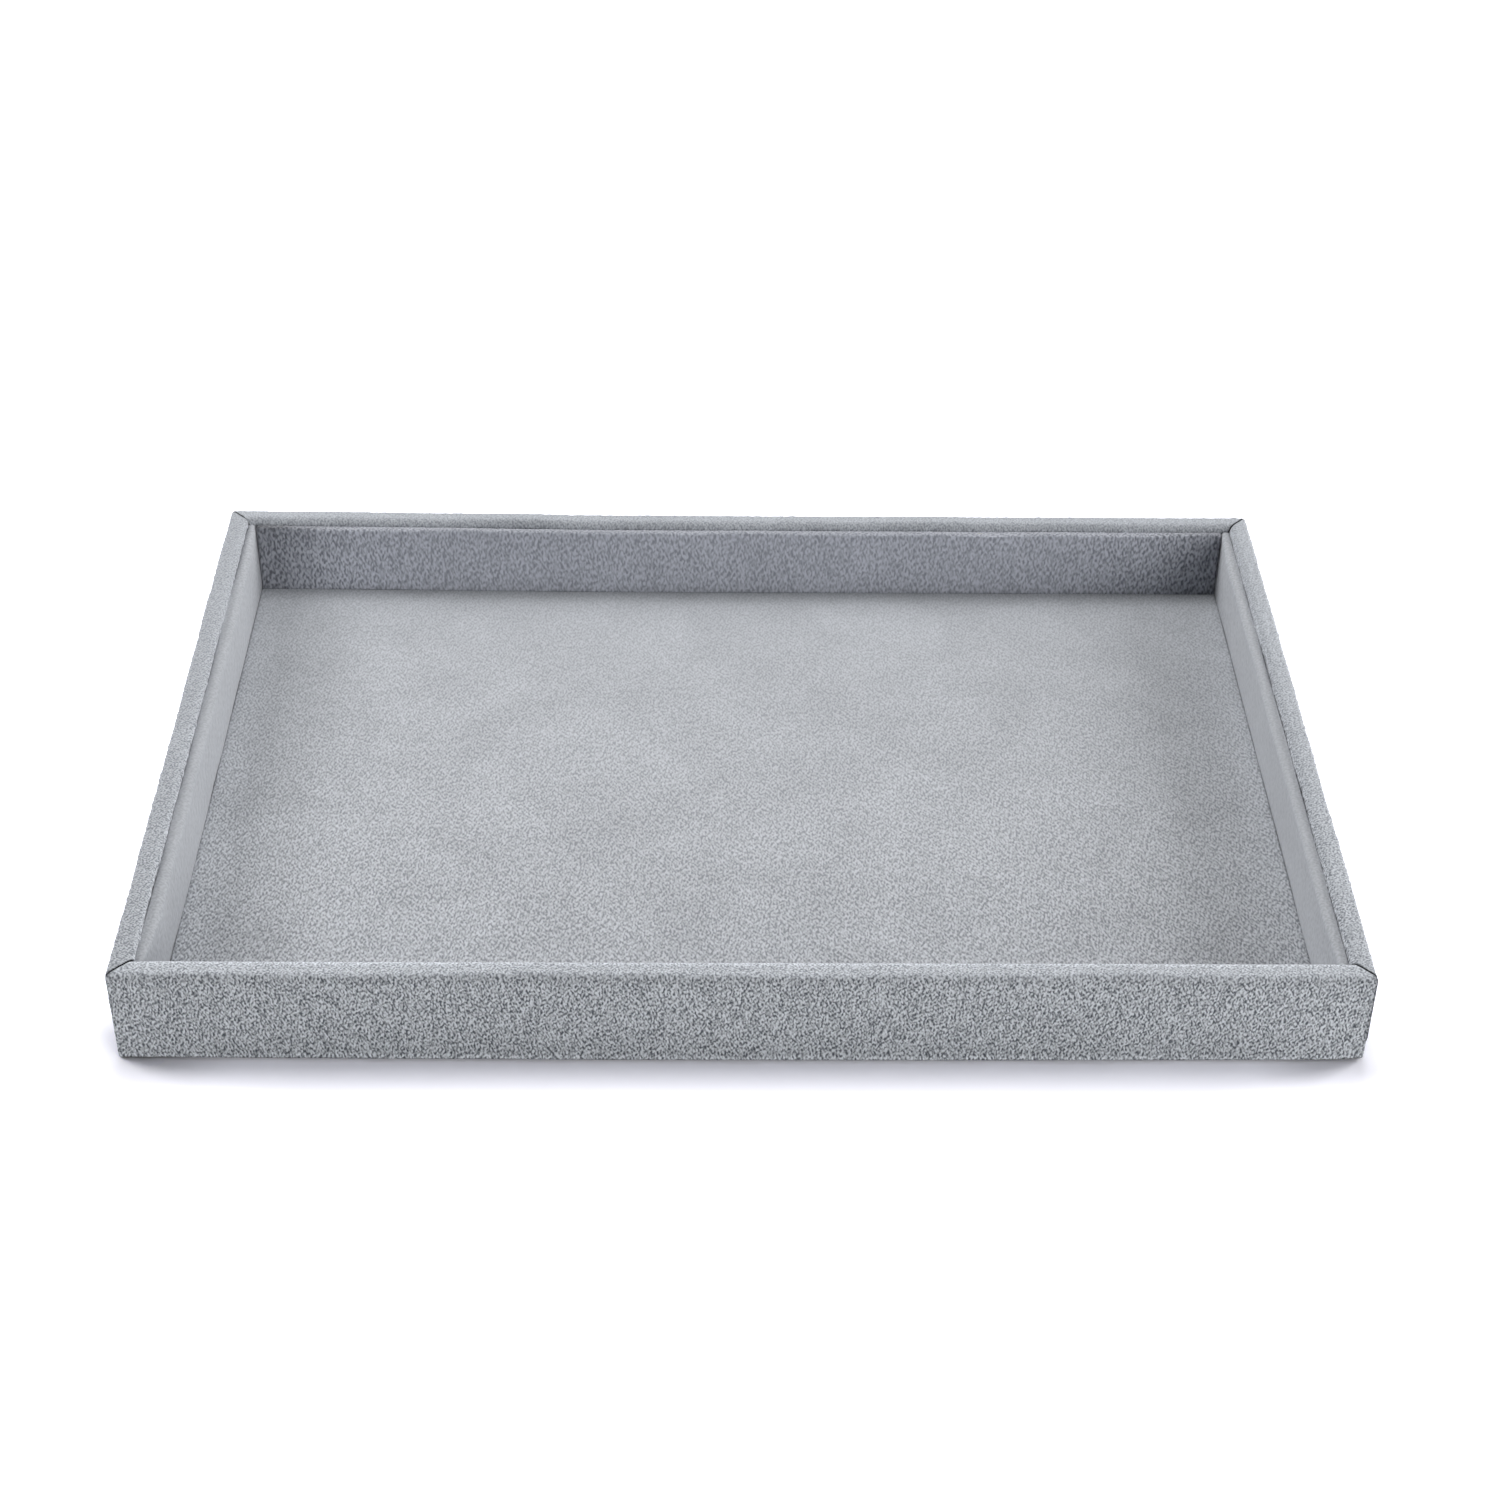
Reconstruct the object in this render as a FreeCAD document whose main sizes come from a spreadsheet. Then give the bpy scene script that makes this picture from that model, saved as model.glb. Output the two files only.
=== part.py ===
import FreeCAD, Part
import Sketcher
import math
import os

# A cloth-covered jewelry tray. Four mitred fibreboard walls stand round a hardboard base, each wrapped
# in microsuede. Cloth-covered liner strips line the walls and stop below the rim, and a padded floor
# lies between them. X runs along the tray, Y from front to back, Z up from the table.

# Driving sizes in millimetres, grouped by the piece that carries them.
SIZES = {
    # the whole tray, measured outside the cloth
    "tray_length": 350.0,
    "tray_width": 242.0,
    "tray_height": 31.2,
    # the wall strips inside the wraps
    "core_thick": 5.0,
    "rim_round": 1.4,
    # the cloth round each wall
    "wrap_cloth": 0.6,
    "wrap_under_turn": 14.0,
    "corner_seam": 0.2,
    # the liner strips inside the walls
    "rim_step": 1.9,
    "liner_thick": 1.5,
    "liner_round": 0.6,
    "liner_cloth": 0.5,
    # the base and the padded floor on it
    "base_thick": 2.0,
    "floor_card_thick": 0.6,
    "wadding_thick": 1.1,
    "floor_cloth": 0.5,
    "floor_round": 1.1,
    # the sheet under the tray
    "underside_cloth": 0.4,
    "underside_inset": 3.0,
    # the nails in the mitres and under the base
    "brad_radius": 0.6,
    "brad_length": 15.0,
    "pin_radius": 0.5,
    "pin_length": 9.0,
    # glue films, clearances and the overrun of every cut
    "glue_film": 0.1,
    "base_clearance": 0.3,
    "liner_clearance": 0.2,
    "floor_clearance": 0.3,
    "underside_clearance": 0.3,
    "nail_clearance": 0.1,
    "overrun": 1.0,
}

# Shares of the piece that carries each feature.
REBATE_SHARE = 0.52
INSIDE_TURN_SHARE = 0.52
LINER_TURN_SHARE = 0.4
ROUND_LIMIT_SHARE = 0.45
FLOOR_ROUND_LIMIT_SHARE = 0.7
BRAD_HEIGHT_SHARES = (0.35, 0.72)

# Pins along a long and along a short wall.
LONG_WALL_PINS = 4
SHORT_WALL_PINS = 3

# Each side of the tray: the wall's run, the size across, and the way out along X and Y.
SIDES = {
    "front": ("Sizes.tray_length", "Sizes.tray_width", 0, -1),
    "right": ("Sizes.tray_width", "Sizes.tray_length", 1, 0),
    "back": ("Sizes.tray_length", "Sizes.tray_width", 0, 1),
    "left": ("Sizes.tray_width", "Sizes.tray_length", -1, 0),
}
LONG_SIDES = ("front", "back")

# Depths in from the outside face of a wall, outermost first.
CORE_OUTER = "(Sizes.wrap_cloth + Sizes.glue_film)"
CORE_MIDDLE = f"({CORE_OUTER} + Sizes.core_thick / 2)"
CORE_INNER = f"({CORE_OUTER} + Sizes.core_thick)"
WRAP_BACK = f"({CORE_INNER} + Sizes.glue_film)"
WALL_FACE = f"({WRAP_BACK} + Sizes.wrap_cloth)"
LINER_BACK = f"({WALL_FACE} + Sizes.glue_film)"
LINER_TURN_FACE = f"({LINER_BACK} + Sizes.liner_cloth)"
BOARD_BACK = f"({LINER_TURN_FACE} + Sizes.glue_film)"
BOARD_FACE = f"({BOARD_BACK} + Sizes.liner_thick)"
LINER_CLOTH_BACK = f"({BOARD_FACE} + Sizes.glue_film)"
LINER_FACE = f"({LINER_CLOTH_BACK} + Sizes.liner_cloth)"
REBATE_BACK = f"({CORE_INNER} - {REBATE_SHARE} * Sizes.core_thick)"
BASE_EDGE = f"({REBATE_BACK} + Sizes.base_clearance)"
PIN_DEPTH = f"(({BASE_EDGE} + {CORE_INNER}) / 2)"
FLOOR_EDGE = f"({LINER_FACE} + Sizes.floor_clearance)"
FLOOR_CLOTH_BACK = f"({FLOOR_EDGE} + Sizes.floor_cloth)"
CARD_EDGE = f"({FLOOR_CLOTH_BACK} + Sizes.glue_film)"
PANEL_EDGE = "(Sizes.wrap_under_turn + Sizes.underside_clearance)"

# Heights above the table, lowest first.
FLANGE_BOTTOM = "(Sizes.underside_cloth + Sizes.glue_film)"
FLANGE_TOP = f"({FLANGE_BOTTOM} + Sizes.wrap_cloth)"
CORE_BOTTOM = f"({FLANGE_TOP} + Sizes.glue_film)"
BASE_TOP = f"({CORE_BOTTOM} + Sizes.base_thick)"
REBATE_TOP = f"({BASE_TOP} + Sizes.glue_film)"
PIN_TIP = f"({CORE_BOTTOM} + Sizes.pin_length + Sizes.nail_clearance)"
CARD_TOP = f"({BASE_TOP} + Sizes.floor_card_thick)"
FLOOR_HEIGHT = "(Sizes.floor_card_thick + Sizes.wadding_thick + Sizes.floor_cloth)"
WRAP_INSIDE_END = f"({1 - INSIDE_TURN_SHARE} * Sizes.tray_height)"
LINER_TOP = "(Sizes.tray_height - Sizes.rim_step)"
LINER_TURN_END = f"({LINER_TOP} - {LINER_TURN_SHARE} * ({LINER_TOP} - {BASE_TOP}))"
LINER_CLOTH_UNDER = f"({LINER_TOP} - Sizes.liner_cloth)"
BOARD_TOP = f"({LINER_CLOTH_UNDER} - Sizes.glue_film)"
WRAP_UNDER = "(Sizes.tray_height - Sizes.wrap_cloth)"
CORE_TOP = f"({WRAP_UNDER} - Sizes.glue_film)"

# Edge rounds, none larger than its wall allows.
CORE_ROUND = f"min(Sizes.rim_round; {ROUND_LIMIT_SHARE} * Sizes.core_thick)"
WRAP_INNER_ROUND = f"({CORE_ROUND} + Sizes.glue_film)"
WRAP_OUTER_ROUND = f"({WRAP_INNER_ROUND} + Sizes.wrap_cloth)"
BOARD_ROUND = f"min(Sizes.liner_round; {ROUND_LIMIT_SHARE} * Sizes.liner_thick)"
LINER_INNER_ROUND = f"({BOARD_ROUND} + Sizes.glue_film)"
LINER_OUTER_ROUND = f"({LINER_INNER_ROUND} + Sizes.liner_cloth)"
FLOOR_ROUND = f"min(Sizes.floor_round; {FLOOR_ROUND_LIMIT_SHARE} * {FLOOR_HEIGHT})"

doc = FreeCAD.newDocument("JewelryTray")
sheet = doc.addObject("Spreadsheet::Sheet", "Sizes")
for row, (alias, value) in enumerate(SIZES.items(), start=1):
    sheet.set(f"A{row}", alias.replace("_", " "))
    sheet.set(f"B{row}", str(value))
    sheet.setAlias(f"B{row}", alias)
doc.recompute()

pieces = []


def new_body(name):
    """Start a piece that is built up from sketched features."""
    body = doc.addObject("PartDesign::Body", name)
    body.Label = name
    pieces.append(body)
    return body


def origin_plane(body, role):
    """Find one of the body's own origin planes."""
    return next(feature for feature in body.Origin.OriginFeatures if feature.Role == role)


def new_sketch(body, name, plane, lift="0"):
    """Start a sketch on an origin plane of its body, moved along the plane's normal by a bound lift."""
    sketch = body.newObject("Sketcher::SketchObject", name)
    sketch.AttachmentSupport = [(origin_plane(body, plane), "")]
    sketch.MapMode = "FlatFace"
    sketch.setExpression("AttachmentOffset.Base.z", lift)
    return sketch


def hold(sketch, kind, geometry, end, place):
    """Hold a point at a bound distance from the sketch's origin along X or Y, on either side of it."""
    value = sketch.evalExpression(place)
    if value < 0:
        index = sketch.addConstraint(Sketcher.Constraint(kind, geometry, end, -1, 1, -value))
        sketch.setExpression(f"Constraints[{index}]", f"-({place})")
    else:
        index = sketch.addConstraint(Sketcher.Constraint(kind, -1, 1, geometry, end, value))
        sketch.setExpression(f"Constraints[{index}]", place)


def add_polygon(sketch, corners):
    """Draw a closed polygon whose corners are bound one by one."""
    points = [FreeCAD.Vector(sketch.evalExpression(x), sketch.evalExpression(y)) for x, y in corners]
    lines = []
    for start, end in zip(points, points[1:] + points[:1]):
        lines.append(sketch.addGeometry(Part.LineSegment(start, end)))
    for line, following, (x, y) in zip(lines, lines[1:] + lines[:1], corners):
        sketch.addConstraint(Sketcher.Constraint("Coincident", line, 2, following, 1))
        hold(sketch, "DistanceX", line, 1, x)
        hold(sketch, "DistanceY", line, 1, y)


def add_rectangle(sketch, half_x, half_y):
    """Draw a rectangle about the origin from its bound half sizes."""
    low_x = f"-{half_x}"
    low_y = f"-{half_y}"
    add_polygon(sketch, [(low_x, low_y), (half_x, low_y), (half_x, half_y), (low_x, half_y)])


def add_circle(sketch, x, y, radius):
    """Draw a circle from its bound centre and radius."""
    centre = FreeCAD.Vector(sketch.evalExpression(x), sketch.evalExpression(y))
    value = sketch.evalExpression(radius)
    circle = sketch.addGeometry(Part.Circle(centre, FreeCAD.Vector(0, 0, 1), value))
    index = sketch.addConstraint(Sketcher.Constraint("Radius", circle, value))
    sketch.setExpression(f"Constraints[{index}]", radius)
    hold(sketch, "DistanceX", circle, 3, x)
    hold(sketch, "DistanceY", circle, 3, y)


def add_profile(sketch, sides, rounds):
    """Draw a closed profile of upright and level lines, with tangent arcs at some of its corners.

    sides lists (axis, place) in order: "x" is an upright line at that x, "y" a level line at that y.
    rounds maps the number of the side that ends at a corner to the bound radius there.
    """
    count = len(sides)
    places = [sketch.evalExpression(place) for axis, place in sides]
    corners = []
    for index, (axis, place) in enumerate(sides):
        pair = (places[index], places[(index + 1) % count])
        corners.append(FreeCAD.Vector(*(pair if axis == "x" else pair[::-1])))
    ways = [(corners[index] - corners[index - 1]).normalize() for index in range(count)]
    radii = [sketch.evalExpression(rounds[index]) if index in rounds else 0 for index in range(count)]
    for index, (axis, place) in enumerate(sides):
        start = corners[index - 1] + ways[index] * radii[index - 1]
        end = corners[index] - ways[index] * radii[index]
        sketch.addGeometry(Part.LineSegment(start, end))
        sketch.addConstraint(Sketcher.Constraint("Vertical" if axis == "x" else "Horizontal", index))
        hold(sketch, "DistanceX" if axis == "x" else "DistanceY", index, 1, place)
    for index in range(count):
        following = (index + 1) % count
        if index not in rounds:
            sketch.addConstraint(Sketcher.Constraint("Coincident", index, 2, following, 1))
            continue
        into, onward, radius = ways[index], ways[following], radii[index]
        centre = corners[index] + (onward - into) * radius
        turns_left = into.cross(onward).z > 0
        first = -onward if turns_left else into
        angle = math.atan2(first.y, first.x)
        circle = Part.Circle(centre, FreeCAD.Vector(0, 0, 1), radius)
        arc = sketch.addGeometry(Part.ArcOfCircle(circle, angle, angle + math.pi / 2))
        arc_ends = (1, 2) if turns_left else (2, 1)
        sketch.addConstraint(Sketcher.Constraint("Tangent", index, 2, arc, arc_ends[0]))
        sketch.addConstraint(Sketcher.Constraint("Tangent", arc, arc_ends[1], following, 1))
        held = sketch.addConstraint(Sketcher.Constraint("Radius", arc, radius))
        sketch.setExpression(f"Constraints[{held}]", rounds[index])


def pad(body, sketch, length, symmetric=False):
    """Raise a sketch into a solid of bound length, one way or equally both ways."""
    feature = body.newObject("PartDesign::Pad", f"{sketch.Name}_pad")
    feature.Profile = sketch
    feature.SideType = "Symmetric" if symmetric else "One side"
    feature.setExpression("Length", length)
    sketch.Visibility = False
    doc.recompute()
    return feature


def cut(body, sketch, depth=None, onward=False):
    """Cut a sketch out of its body, and stop if nothing was cut.

    With no depth the cut goes right through, both ways, or only along the sketch's normal if onward is
    set. With a bound depth it goes that far along the normal.
    """
    before = body.Shape.Volume
    feature = body.newObject("PartDesign::Pocket", f"{sketch.Name}_cut")
    feature.Profile = sketch
    feature.Type = "Length" if depth else "ThroughAll"
    if depth:
        feature.setExpression("Length", depth)
    feature.SideType = "One side" if depth or onward else "Symmetric"
    feature.Reversed = bool(depth or onward)
    sketch.Visibility = False
    doc.recompute()
    if body.Shape.Volume >= before:
        raise ValueError(f"{sketch.Label} cuts nothing from {body.Label}")
    return feature


def mirror_ends(body, feature):
    """Repeat a feature at the other end of a wall."""
    mirrored = body.newObject("PartDesign::Mirrored", f"{feature.Name}_mirrored")
    mirrored.Originals = [feature]
    mirrored.MirrorPlane = (origin_plane(body, "YZ_Plane"), [""])
    body.Tip = mirrored
    doc.recompute()


def stand_on_side(body, side):
    """Set a piece, drawn with depth along Y, against the outside face of one side of the tray."""
    run, across, out_x, out_y = SIDES[side]
    turn = math.degrees(math.atan2(out_x, -out_y))
    body.Placement = FreeCAD.Placement(
        FreeCAD.Vector(), FreeCAD.Rotation(FreeCAD.Vector(0, 0, 1), turn))
    body.setExpression("Placement.Base.x", f"{out_x} * {across} / 2")
    body.setExpression("Placement.Base.y", f"{out_y} * {across} / 2")


def cut_mitres(body, run, setback, depth):
    """Cut both ends of a wall at 45 degrees, so that it stops short of the corner by its depth."""
    sketch = new_sketch(body, f"{body.Name}_mitre", "XY_Plane")
    corner = f"({run} / 2 - {setback} + Sizes.overrun)"
    far_depth = f"({depth} + Sizes.overrun)"
    far_end = f"({run} / 2 - {setback} - {far_depth})"
    for sign in ("", "-"):
        add_polygon(sketch, [
            (f"{sign}{corner}", "-Sizes.overrun"),
            (f"{sign}{far_end}", far_depth),
            (f"{sign}{corner}", far_depth),
        ])
    cut(body, sketch)


def pin_places(run, count):
    """Evenly spaced places along a wall, measured from its middle."""
    return [f"({(index + 0.5) / count - 0.5} * {run})" for index in range(count)]


def wall_pins(side):
    """The places of the base pins along one side of the tray."""
    return pin_places(SIDES[side][0], LONG_WALL_PINS if side in LONG_SIDES else SHORT_WALL_PINS)


def brad_heights():
    """The heights of the brads through each mitre."""
    return [f"({share} * Sizes.tray_height)" for share in BRAD_HEIGHT_SHARES]


# The wall strips: rounded at the rim, rebated at the foot for the base, mitred at both ends, and drilled
# for the nails. The brads enter through the short walls and run on into the ends of the long ones.
for side, (run, across, out_x, out_y) in SIDES.items():
    core = new_body(f"{side}_wall_core")
    profile = new_sketch(core, f"{side}_core_profile", "YZ_Plane")
    add_profile(profile, [
        ("y", CORE_BOTTOM),
        ("x", REBATE_BACK),
        ("y", REBATE_TOP),
        ("x", CORE_INNER),
        ("y", CORE_TOP),
        ("x", CORE_OUTER),
    ], {3: CORE_ROUND, 4: CORE_ROUND})
    pad(core, profile, run, symmetric=True)
    cut_mitres(core, run, "Sizes.glue_film / 2", CORE_INNER)

    pin_holes = new_sketch(core, f"{side}_core_pin_holes", "XY_Plane")
    for place in wall_pins(side):
        add_circle(pin_holes, place, PIN_DEPTH, "Sizes.pin_radius + Sizes.nail_clearance")
    cut(core, pin_holes, depth=PIN_TIP)

    if side in LONG_SIDES:
        brad_tip = f"({run} / 2 - {CORE_OUTER} - Sizes.brad_length - Sizes.nail_clearance)"
        brad_holes = new_sketch(core, f"{side}_core_brad_holes", "YZ_Plane", brad_tip)
        for height in brad_heights():
            add_circle(brad_holes, CORE_MIDDLE, height, "Sizes.brad_radius + Sizes.nail_clearance")
        mirror_ends(core, cut(core, brad_holes, onward=True))
    else:
        brad_holes = new_sketch(core, f"{side}_core_brad_holes", "XZ_Plane")
        for height in brad_heights():
            for sign in ("", "-"):
                place = f"{sign}({run} / 2 - {CORE_MIDDLE})"
                add_circle(brad_holes, place, height, "Sizes.brad_radius + Sizes.nail_clearance")
        cut(core, brad_holes)
    stand_on_side(core, side)

# The brads: headless, driven flush with the outside of the short walls, two through each mitre.
brads = []
for end in (-1, 1):
    for across_sign in ("", "-"):
        for height in brad_heights():
            brad = doc.addObject("Part::Cylinder", "brad")
            brad.setExpression("Radius", "Sizes.brad_radius")
            brad.setExpression("Height", "Sizes.brad_length")
            inward = FreeCAD.Rotation(FreeCAD.Vector(0, 1, 0), -90 * end)
            brad.Placement = FreeCAD.Placement(FreeCAD.Vector(), inward)
            brad.setExpression("Placement.Base.x", f"{end} * (Sizes.tray_length / 2 - {CORE_OUTER})")
            brad.setExpression("Placement.Base.y", f"{across_sign}(Sizes.tray_width / 2 - {CORE_MIDDLE})")
            brad.setExpression("Placement.Base.z", height)
            brads.append(brad)
corner_brads = doc.addObject("Part::Compound", "corner_brads")
corner_brads.Links = brads
pieces.append(corner_brads)

# The base board: let into the rebate of the four walls and drilled for its pins.
base_board = new_body("base_board")
base_outline = new_sketch(base_board, "base_outline", "XY_Plane")
add_rectangle(
    base_outline,
    f"(Sizes.tray_length / 2 - {BASE_EDGE})",
    f"(Sizes.tray_width / 2 - {BASE_EDGE})")
pad(base_board, base_outline, "Sizes.base_thick")
tray_pins = []
for side, (run, across, out_x, out_y) in SIDES.items():
    for place in wall_pins(side):
        out = f"({across} / 2 - {PIN_DEPTH})"
        tray_pins.append((place, f"{out_y} * {out}") if side in LONG_SIDES else (f"{out_x} * {out}", place))
base_holes = new_sketch(base_board, "base_pin_holes", "XY_Plane")
for x, y in tray_pins:
    add_circle(base_holes, x, y, "Sizes.pin_radius + Sizes.nail_clearance")
cut(base_board, base_holes)
base_board.setExpression("Placement.Base.z", CORE_BOTTOM)

# The pins: flush with the underside of the base board, up into the walls.
pins = []
for x, y in tray_pins:
    pin = doc.addObject("Part::Cylinder", "pin")
    pin.setExpression("Radius", "Sizes.pin_radius")
    pin.setExpression("Height", "Sizes.pin_length")
    pin.setExpression("Placement.Base.x", x)
    pin.setExpression("Placement.Base.y", y)
    pin.setExpression("Placement.Base.z", CORE_BOTTOM)
    pins.append(pin)
base_pins = doc.addObject("Part::Compound", "base_pins")
base_pins.Links = pins
pieces.append(base_pins)

# The wall wraps: one strip of cloth per wall, from behind the liner over the rounded rim, down the outside
# and under the base, with both ends mitred so that a fine seam shows at each corner.
for side, (run, across, out_x, out_y) in SIDES.items():
    wrap = new_body(f"{side}_wall_wrap")
    profile = new_sketch(wrap, f"{side}_wrap_profile", "YZ_Plane")
    add_profile(profile, [
        ("x", WALL_FACE),
        ("y", "Sizes.tray_height"),
        ("x", "0"),
        ("y", FLANGE_BOTTOM),
        ("x", "Sizes.wrap_under_turn"),
        ("y", FLANGE_TOP),
        ("x", "Sizes.wrap_cloth"),
        ("y", WRAP_UNDER),
        ("x", WRAP_BACK),
        ("y", WRAP_INSIDE_END),
    ], {
        0: WRAP_OUTER_ROUND,
        1: WRAP_OUTER_ROUND,
        2: "Sizes.wrap_cloth",
        6: WRAP_INNER_ROUND,
        7: WRAP_INNER_ROUND,
    })
    pad(wrap, profile, run, symmetric=True)
    cut_mitres(wrap, run, "Sizes.corner_seam", "Sizes.wrap_under_turn")
    stand_on_side(wrap, side)

# The liners: a greyboard strip on the base, inside each wall, and the cloth glued up its face, over its
# round top and part way down its back, and past its ends by the thickness of the cloth. The short liners
# run from wall to wall, the long ones between them.
for side, (run, across, out_x, out_y) in SIDES.items():
    end_stop = LINER_FACE if side in LONG_SIDES else WALL_FACE
    liner_run = f"({run} - 2 * ({end_stop} + Sizes.liner_clearance))"
    board_run = f"({liner_run} - 2 * (Sizes.liner_cloth + Sizes.glue_film))"

    board = new_body(f"{side}_liner_board")
    profile = new_sketch(board, f"{side}_board_profile", "YZ_Plane")
    add_profile(profile, [
        ("y", BASE_TOP),
        ("x", BOARD_FACE),
        ("y", BOARD_TOP),
        ("x", BOARD_BACK),
    ], {1: BOARD_ROUND, 2: BOARD_ROUND})
    pad(board, profile, board_run, symmetric=True)
    stand_on_side(board, side)

    liner_wrap = new_body(f"{side}_liner_wrap")
    profile = new_sketch(liner_wrap, f"{side}_liner_profile", "YZ_Plane")
    add_profile(profile, [
        ("x", LINER_FACE),
        ("y", LINER_TOP),
        ("x", LINER_BACK),
        ("y", LINER_TURN_END),
        ("x", LINER_TURN_FACE),
        ("y", LINER_CLOTH_UNDER),
        ("x", LINER_CLOTH_BACK),
        ("y", BASE_TOP),
    ], {
        0: LINER_OUTER_ROUND,
        1: LINER_OUTER_ROUND,
        4: LINER_INNER_ROUND,
        5: LINER_INNER_ROUND,
    })
    pad(liner_wrap, profile, liner_run, symmetric=True)
    stand_on_side(liner_wrap, side)

# The floor's stiffening card and the thin foam on it.
for name, thickness, level in (
    ("floor_card", "Sizes.floor_card_thick", BASE_TOP),
    ("floor_wadding", "Sizes.wadding_thick", CARD_TOP),
):
    layer = new_body(name)
    outline = new_sketch(layer, f"{name}_outline", "XY_Plane")
    add_rectangle(
        outline,
        f"(Sizes.tray_length / 2 - {CARD_EDGE})",
        f"(Sizes.tray_width / 2 - {CARD_EDGE})")
    pad(layer, outline, thickness)
    layer.setExpression("Placement.Base.z", level)

# The floor cover: cloth stretched over the foam and card, round-edged, with its sides turned down to the
# base.
floor_cover = new_body("floor_cover")
cover_outline = new_sketch(floor_cover, "cover_outline", "XY_Plane")
add_rectangle(
    cover_outline,
    f"(Sizes.tray_length / 2 - {FLOOR_EDGE})",
    f"(Sizes.tray_width / 2 - {FLOOR_EDGE})")
cover_pad = pad(floor_cover, cover_outline, FLOOR_HEIGHT)
top_face = max(cover_pad.Shape.Faces, key=lambda face: face.CenterOfMass.z)
top_edges = []
for number, edge in enumerate(cover_pad.Shape.Edges, start=1):
    if any(edge.isSame(other) for other in top_face.Edges):
        top_edges.append(f"Edge{number}")
cover_edge = floor_cover.newObject("PartDesign::Fillet", "cover_edge")
cover_edge.Base = (cover_pad, top_edges)
cover_edge.setExpression("Radius", FLOOR_ROUND)
doc.recompute()
cover_hollow = new_sketch(floor_cover, "cover_hollow", "XY_Plane")
add_rectangle(
    cover_hollow,
    f"(Sizes.tray_length / 2 - {FLOOR_CLOTH_BACK})",
    f"(Sizes.tray_width / 2 - {FLOOR_CLOTH_BACK})")
cut(floor_cover, cover_hollow, depth=f"({FLOOR_HEIGHT} - Sizes.floor_cloth)")
floor_cover.setExpression("Placement.Base.z", BASE_TOP)

# The underside cloth: its edge lies over the turned-under wraps and carries the tray, and its middle is
# pressed up against the base board between them.
underside = new_body("underside_cloth")
edge_outline = new_sketch(underside, "underside_edge", "XY_Plane")
add_rectangle(
    edge_outline,
    "(Sizes.tray_length / 2 - Sizes.underside_inset)",
    "(Sizes.tray_width / 2 - Sizes.underside_inset)")
pad(underside, edge_outline, "Sizes.underside_cloth")
panel_outline = new_sketch(underside, "underside_panel", "XY_Plane")
add_rectangle(
    panel_outline,
    f"(Sizes.tray_length / 2 - {PANEL_EDGE})",
    f"(Sizes.tray_width / 2 - {PANEL_EDGE})")
pad(underside, panel_outline, FLANGE_TOP)
hollow_edge = f"({PANEL_EDGE} + Sizes.underside_cloth)"
hollow_outline = new_sketch(underside, "underside_hollow", "XY_Plane")
add_rectangle(
    hollow_outline,
    f"(Sizes.tray_length / 2 - {hollow_edge})",
    f"(Sizes.tray_width / 2 - {hollow_edge})")
cut(underside, hollow_outline, depth=f"({FLANGE_TOP} - Sizes.underside_cloth)")

# Every object must have worked out, and every piece must be a sound solid, before anything is written.
doc.recompute()
for item in doc.Objects:
    if "Invalid" in item.State or "Error" in item.State:
        raise RuntimeError(f"{item.Label} failed: {item.State}")
os.makedirs("parts", exist_ok=True)
for piece in pieces:
    if piece.Shape.isNull() or not piece.Shape.isValid() or not piece.Shape.Solids:
        raise RuntimeError(f"{piece.Label} is not a sound solid")
for piece in pieces:
    piece.Shape.exportStep(f"parts/{piece.Label}.step")
print(f"{len(pieces)} pieces written")
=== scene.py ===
import math

import bpy
import numpy as np
from mathutils import Matrix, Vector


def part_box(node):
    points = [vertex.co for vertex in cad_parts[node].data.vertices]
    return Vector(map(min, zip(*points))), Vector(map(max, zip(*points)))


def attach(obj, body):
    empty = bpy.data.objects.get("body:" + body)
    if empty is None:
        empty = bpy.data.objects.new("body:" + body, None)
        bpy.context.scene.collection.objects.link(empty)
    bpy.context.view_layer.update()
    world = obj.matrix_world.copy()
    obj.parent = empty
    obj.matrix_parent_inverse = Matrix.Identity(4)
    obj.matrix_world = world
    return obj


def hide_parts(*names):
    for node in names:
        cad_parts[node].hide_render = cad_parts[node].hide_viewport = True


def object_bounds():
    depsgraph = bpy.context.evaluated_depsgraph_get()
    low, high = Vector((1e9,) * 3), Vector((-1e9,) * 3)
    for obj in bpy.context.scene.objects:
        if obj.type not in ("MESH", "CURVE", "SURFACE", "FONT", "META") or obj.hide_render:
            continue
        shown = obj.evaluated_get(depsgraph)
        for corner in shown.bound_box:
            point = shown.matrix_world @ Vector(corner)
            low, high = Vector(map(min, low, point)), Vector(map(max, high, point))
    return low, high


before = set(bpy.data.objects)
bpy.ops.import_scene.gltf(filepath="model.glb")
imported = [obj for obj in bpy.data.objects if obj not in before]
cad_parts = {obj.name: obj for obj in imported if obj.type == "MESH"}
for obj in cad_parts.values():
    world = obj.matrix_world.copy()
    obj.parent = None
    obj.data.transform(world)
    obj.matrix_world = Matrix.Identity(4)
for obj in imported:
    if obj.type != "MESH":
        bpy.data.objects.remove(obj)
cad_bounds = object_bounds()

# Wall strips
# Four mitred strips of raw medium-density fibreboard, planed round at the rim and rebated at the foot.
# They are glued and bradded at the corners, and the cloth hides them.

MM = 0.001
# The way that each wall faces, along X and Y. In this order each wall ends where the next one starts.
SIDES = {"front": (0, -1), "right": (1, 0), "back": (0, 1), "left": (-1, 0)}


def linear(colour):
    """Turns an sRGB hex colour such as a0b0c0 into the linear colour that a socket takes."""
    level = np.array([int(colour[k:k + 2], 16) for k in (0, 2, 4)]) / 255
    shown = np.where(level <= 0.04045, level / 12.92, ((level + 0.055) / 1.055) ** 2.4)
    return (*shown.tolist(), 1.0)


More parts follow.
